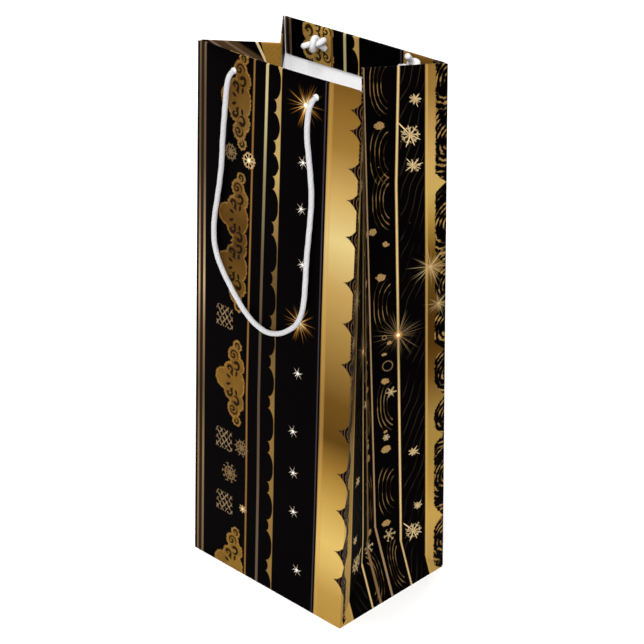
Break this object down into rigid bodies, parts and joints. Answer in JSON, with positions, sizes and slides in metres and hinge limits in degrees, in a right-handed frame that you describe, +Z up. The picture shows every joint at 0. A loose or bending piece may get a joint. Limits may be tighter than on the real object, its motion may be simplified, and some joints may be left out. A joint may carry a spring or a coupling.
{
  "type": "wine gift bag",
  "caption": "Tall folded paper gift bag for one bottle, with pleated side gussets, turned-in top, base card and cord handles.",
  "frame": {"origin": "centre of the underside, on the surface the bag stands on", "axes": "+Z up along the bag's height, +X to the right seen from the front, the front panel faces -Y"},
  "size_m": [0.13, 0.096, 0.34],
  "materials": {
    "printed_paper": "laminated black art paper with gold stripes",
    "white_paper": "uncoated white inside face",
    "card": "plain chipboard",
    "cord": "twisted white cord"
  },
  "bodies": {
    "base": {"base_card": "card", "front_bottom_flap": "printed_paper", "rear_bottom_flap": "printed_paper", "left_bottom_flap": "printed_paper", "right_bottom_flap": "printed_paper"},
    "front": {"front_panel": "printed_paper", "front_reinforcement_card": "card", "front_turn_in": "printed_paper", "front_left_knot": "cord", "front_right_knot": "cord"},
    "rear": {"rear_panel": "printed_paper", "rear_reinforcement_card": "card", "rear_turn_in": "printed_paper", "glue_seam_flap": "white_paper", "rear_left_knot": "cord", "rear_right_knot": "cord"},
    "left_front_fold": {"left_gusset_front_half": "printed_paper", "left_gusset_front_turn_in": "printed_paper"},
    "left_rear_fold": {"left_gusset_rear_half": "printed_paper", "left_gusset_rear_turn_in": "printed_paper"},
    "right_front_fold": {"right_gusset_front_half": "printed_paper", "right_gusset_front_turn_in": "printed_paper"},
    "right_rear_fold": {"right_gusset_rear_half": "printed_paper", "right_gusset_rear_turn_in": "printed_paper"},
    "left_triangle": {"left_gusset_triangle": "printed_paper"},
    "right_triangle": {"right_gusset_triangle": "printed_paper"},
    "front_handle": {"front_handle_cord": "cord"},
    "rear_handle": {"rear_handle_cord": "cord"}
  },
  "joints": [
    {"name": "mouth_front", "type": "hinge", "parent": "base", "child": "front", "pos_m": [0, -0.048, 0], "axis": [1, 0, 0], "range_deg": [-1.2, 1], "stiffness_Nm_per_rad": 1},
    {"name": "mouth_rear", "type": "hinge", "parent": "base", "child": "rear", "pos_m": [0, 0.048, 0], "axis": [-1, 0, 0], "range_deg": [-1.2, 1]},
    {"name": "left_front_crease", "type": "hinge", "parent": "front", "child": "left_front_fold", "pos_m": [-0.065, -0.048, 0], "axis": [0, -0.0397, -0.9992], "range_deg": [-11, 13.5]},
    {"name": "right_front_crease", "type": "hinge", "parent": "front", "child": "right_front_fold", "pos_m": [0.065, -0.048, 0], "axis": [0, 0.0397, 0.9992], "range_deg": [-11, 13.5]},
    {"name": "left_rear_crease", "type": "hinge", "parent": "rear", "child": "left_rear_fold", "pos_m": [-0.065, 0.048, 0], "axis": [0, -0.0397, 0.9992], "range_deg": [-11, 13.5]},
    {"name": "right_rear_crease", "type": "hinge", "parent": "rear", "child": "right_rear_fold", "pos_m": [0.065, 0.048, 0], "axis": [0, 0.0397, -0.9992], "range_deg": [-11, 13.5]},
    {"name": "left_bottom_crease", "type": "hinge", "parent": "base", "child": "left_triangle", "pos_m": [-0.065, 0, 0], "axis": [0, 1, 0], "range_deg": [-3.5, 4.2]},
    {"name": "right_bottom_crease", "type": "hinge", "parent": "base", "child": "right_triangle", "pos_m": [0.065, 0, 0], "axis": [0, -1, 0], "range_deg": [-3.5, 4.2]},
    {"name": "front_handle_swing", "type": "hinge", "parent": "front", "child": "front_handle", "pos_m": [0, -0.04106, 0.3295], "axis": [-1, 0, 0], "range_deg": [0, 175]},
    {"name": "rear_handle_swing", "type": "hinge", "parent": "rear", "child": "rear_handle", "pos_m": [0, 0.03935, 0.3295], "axis": [1, 0, 0], "range_deg": [0, 175]}
  ],
  "couplings": [
    {"joint": "mouth_rear", "follows": "mouth_front", "ratio": 1},
    {"joint": "left_front_crease", "follows": "mouth_front", "ratio": -10.4},
    {"joint": "right_front_crease", "follows": "mouth_front", "ratio": -10.4},
    {"joint": "left_rear_crease", "follows": "mouth_front", "ratio": -10.4},
    {"joint": "right_rear_crease", "follows": "mouth_front", "ratio": -10.4},
    {"joint": "left_bottom_crease", "follows": "mouth_front", "ratio": -2.9},
    {"joint": "right_bottom_crease", "follows": "mouth_front", "ratio": -2.9}
  ]
}
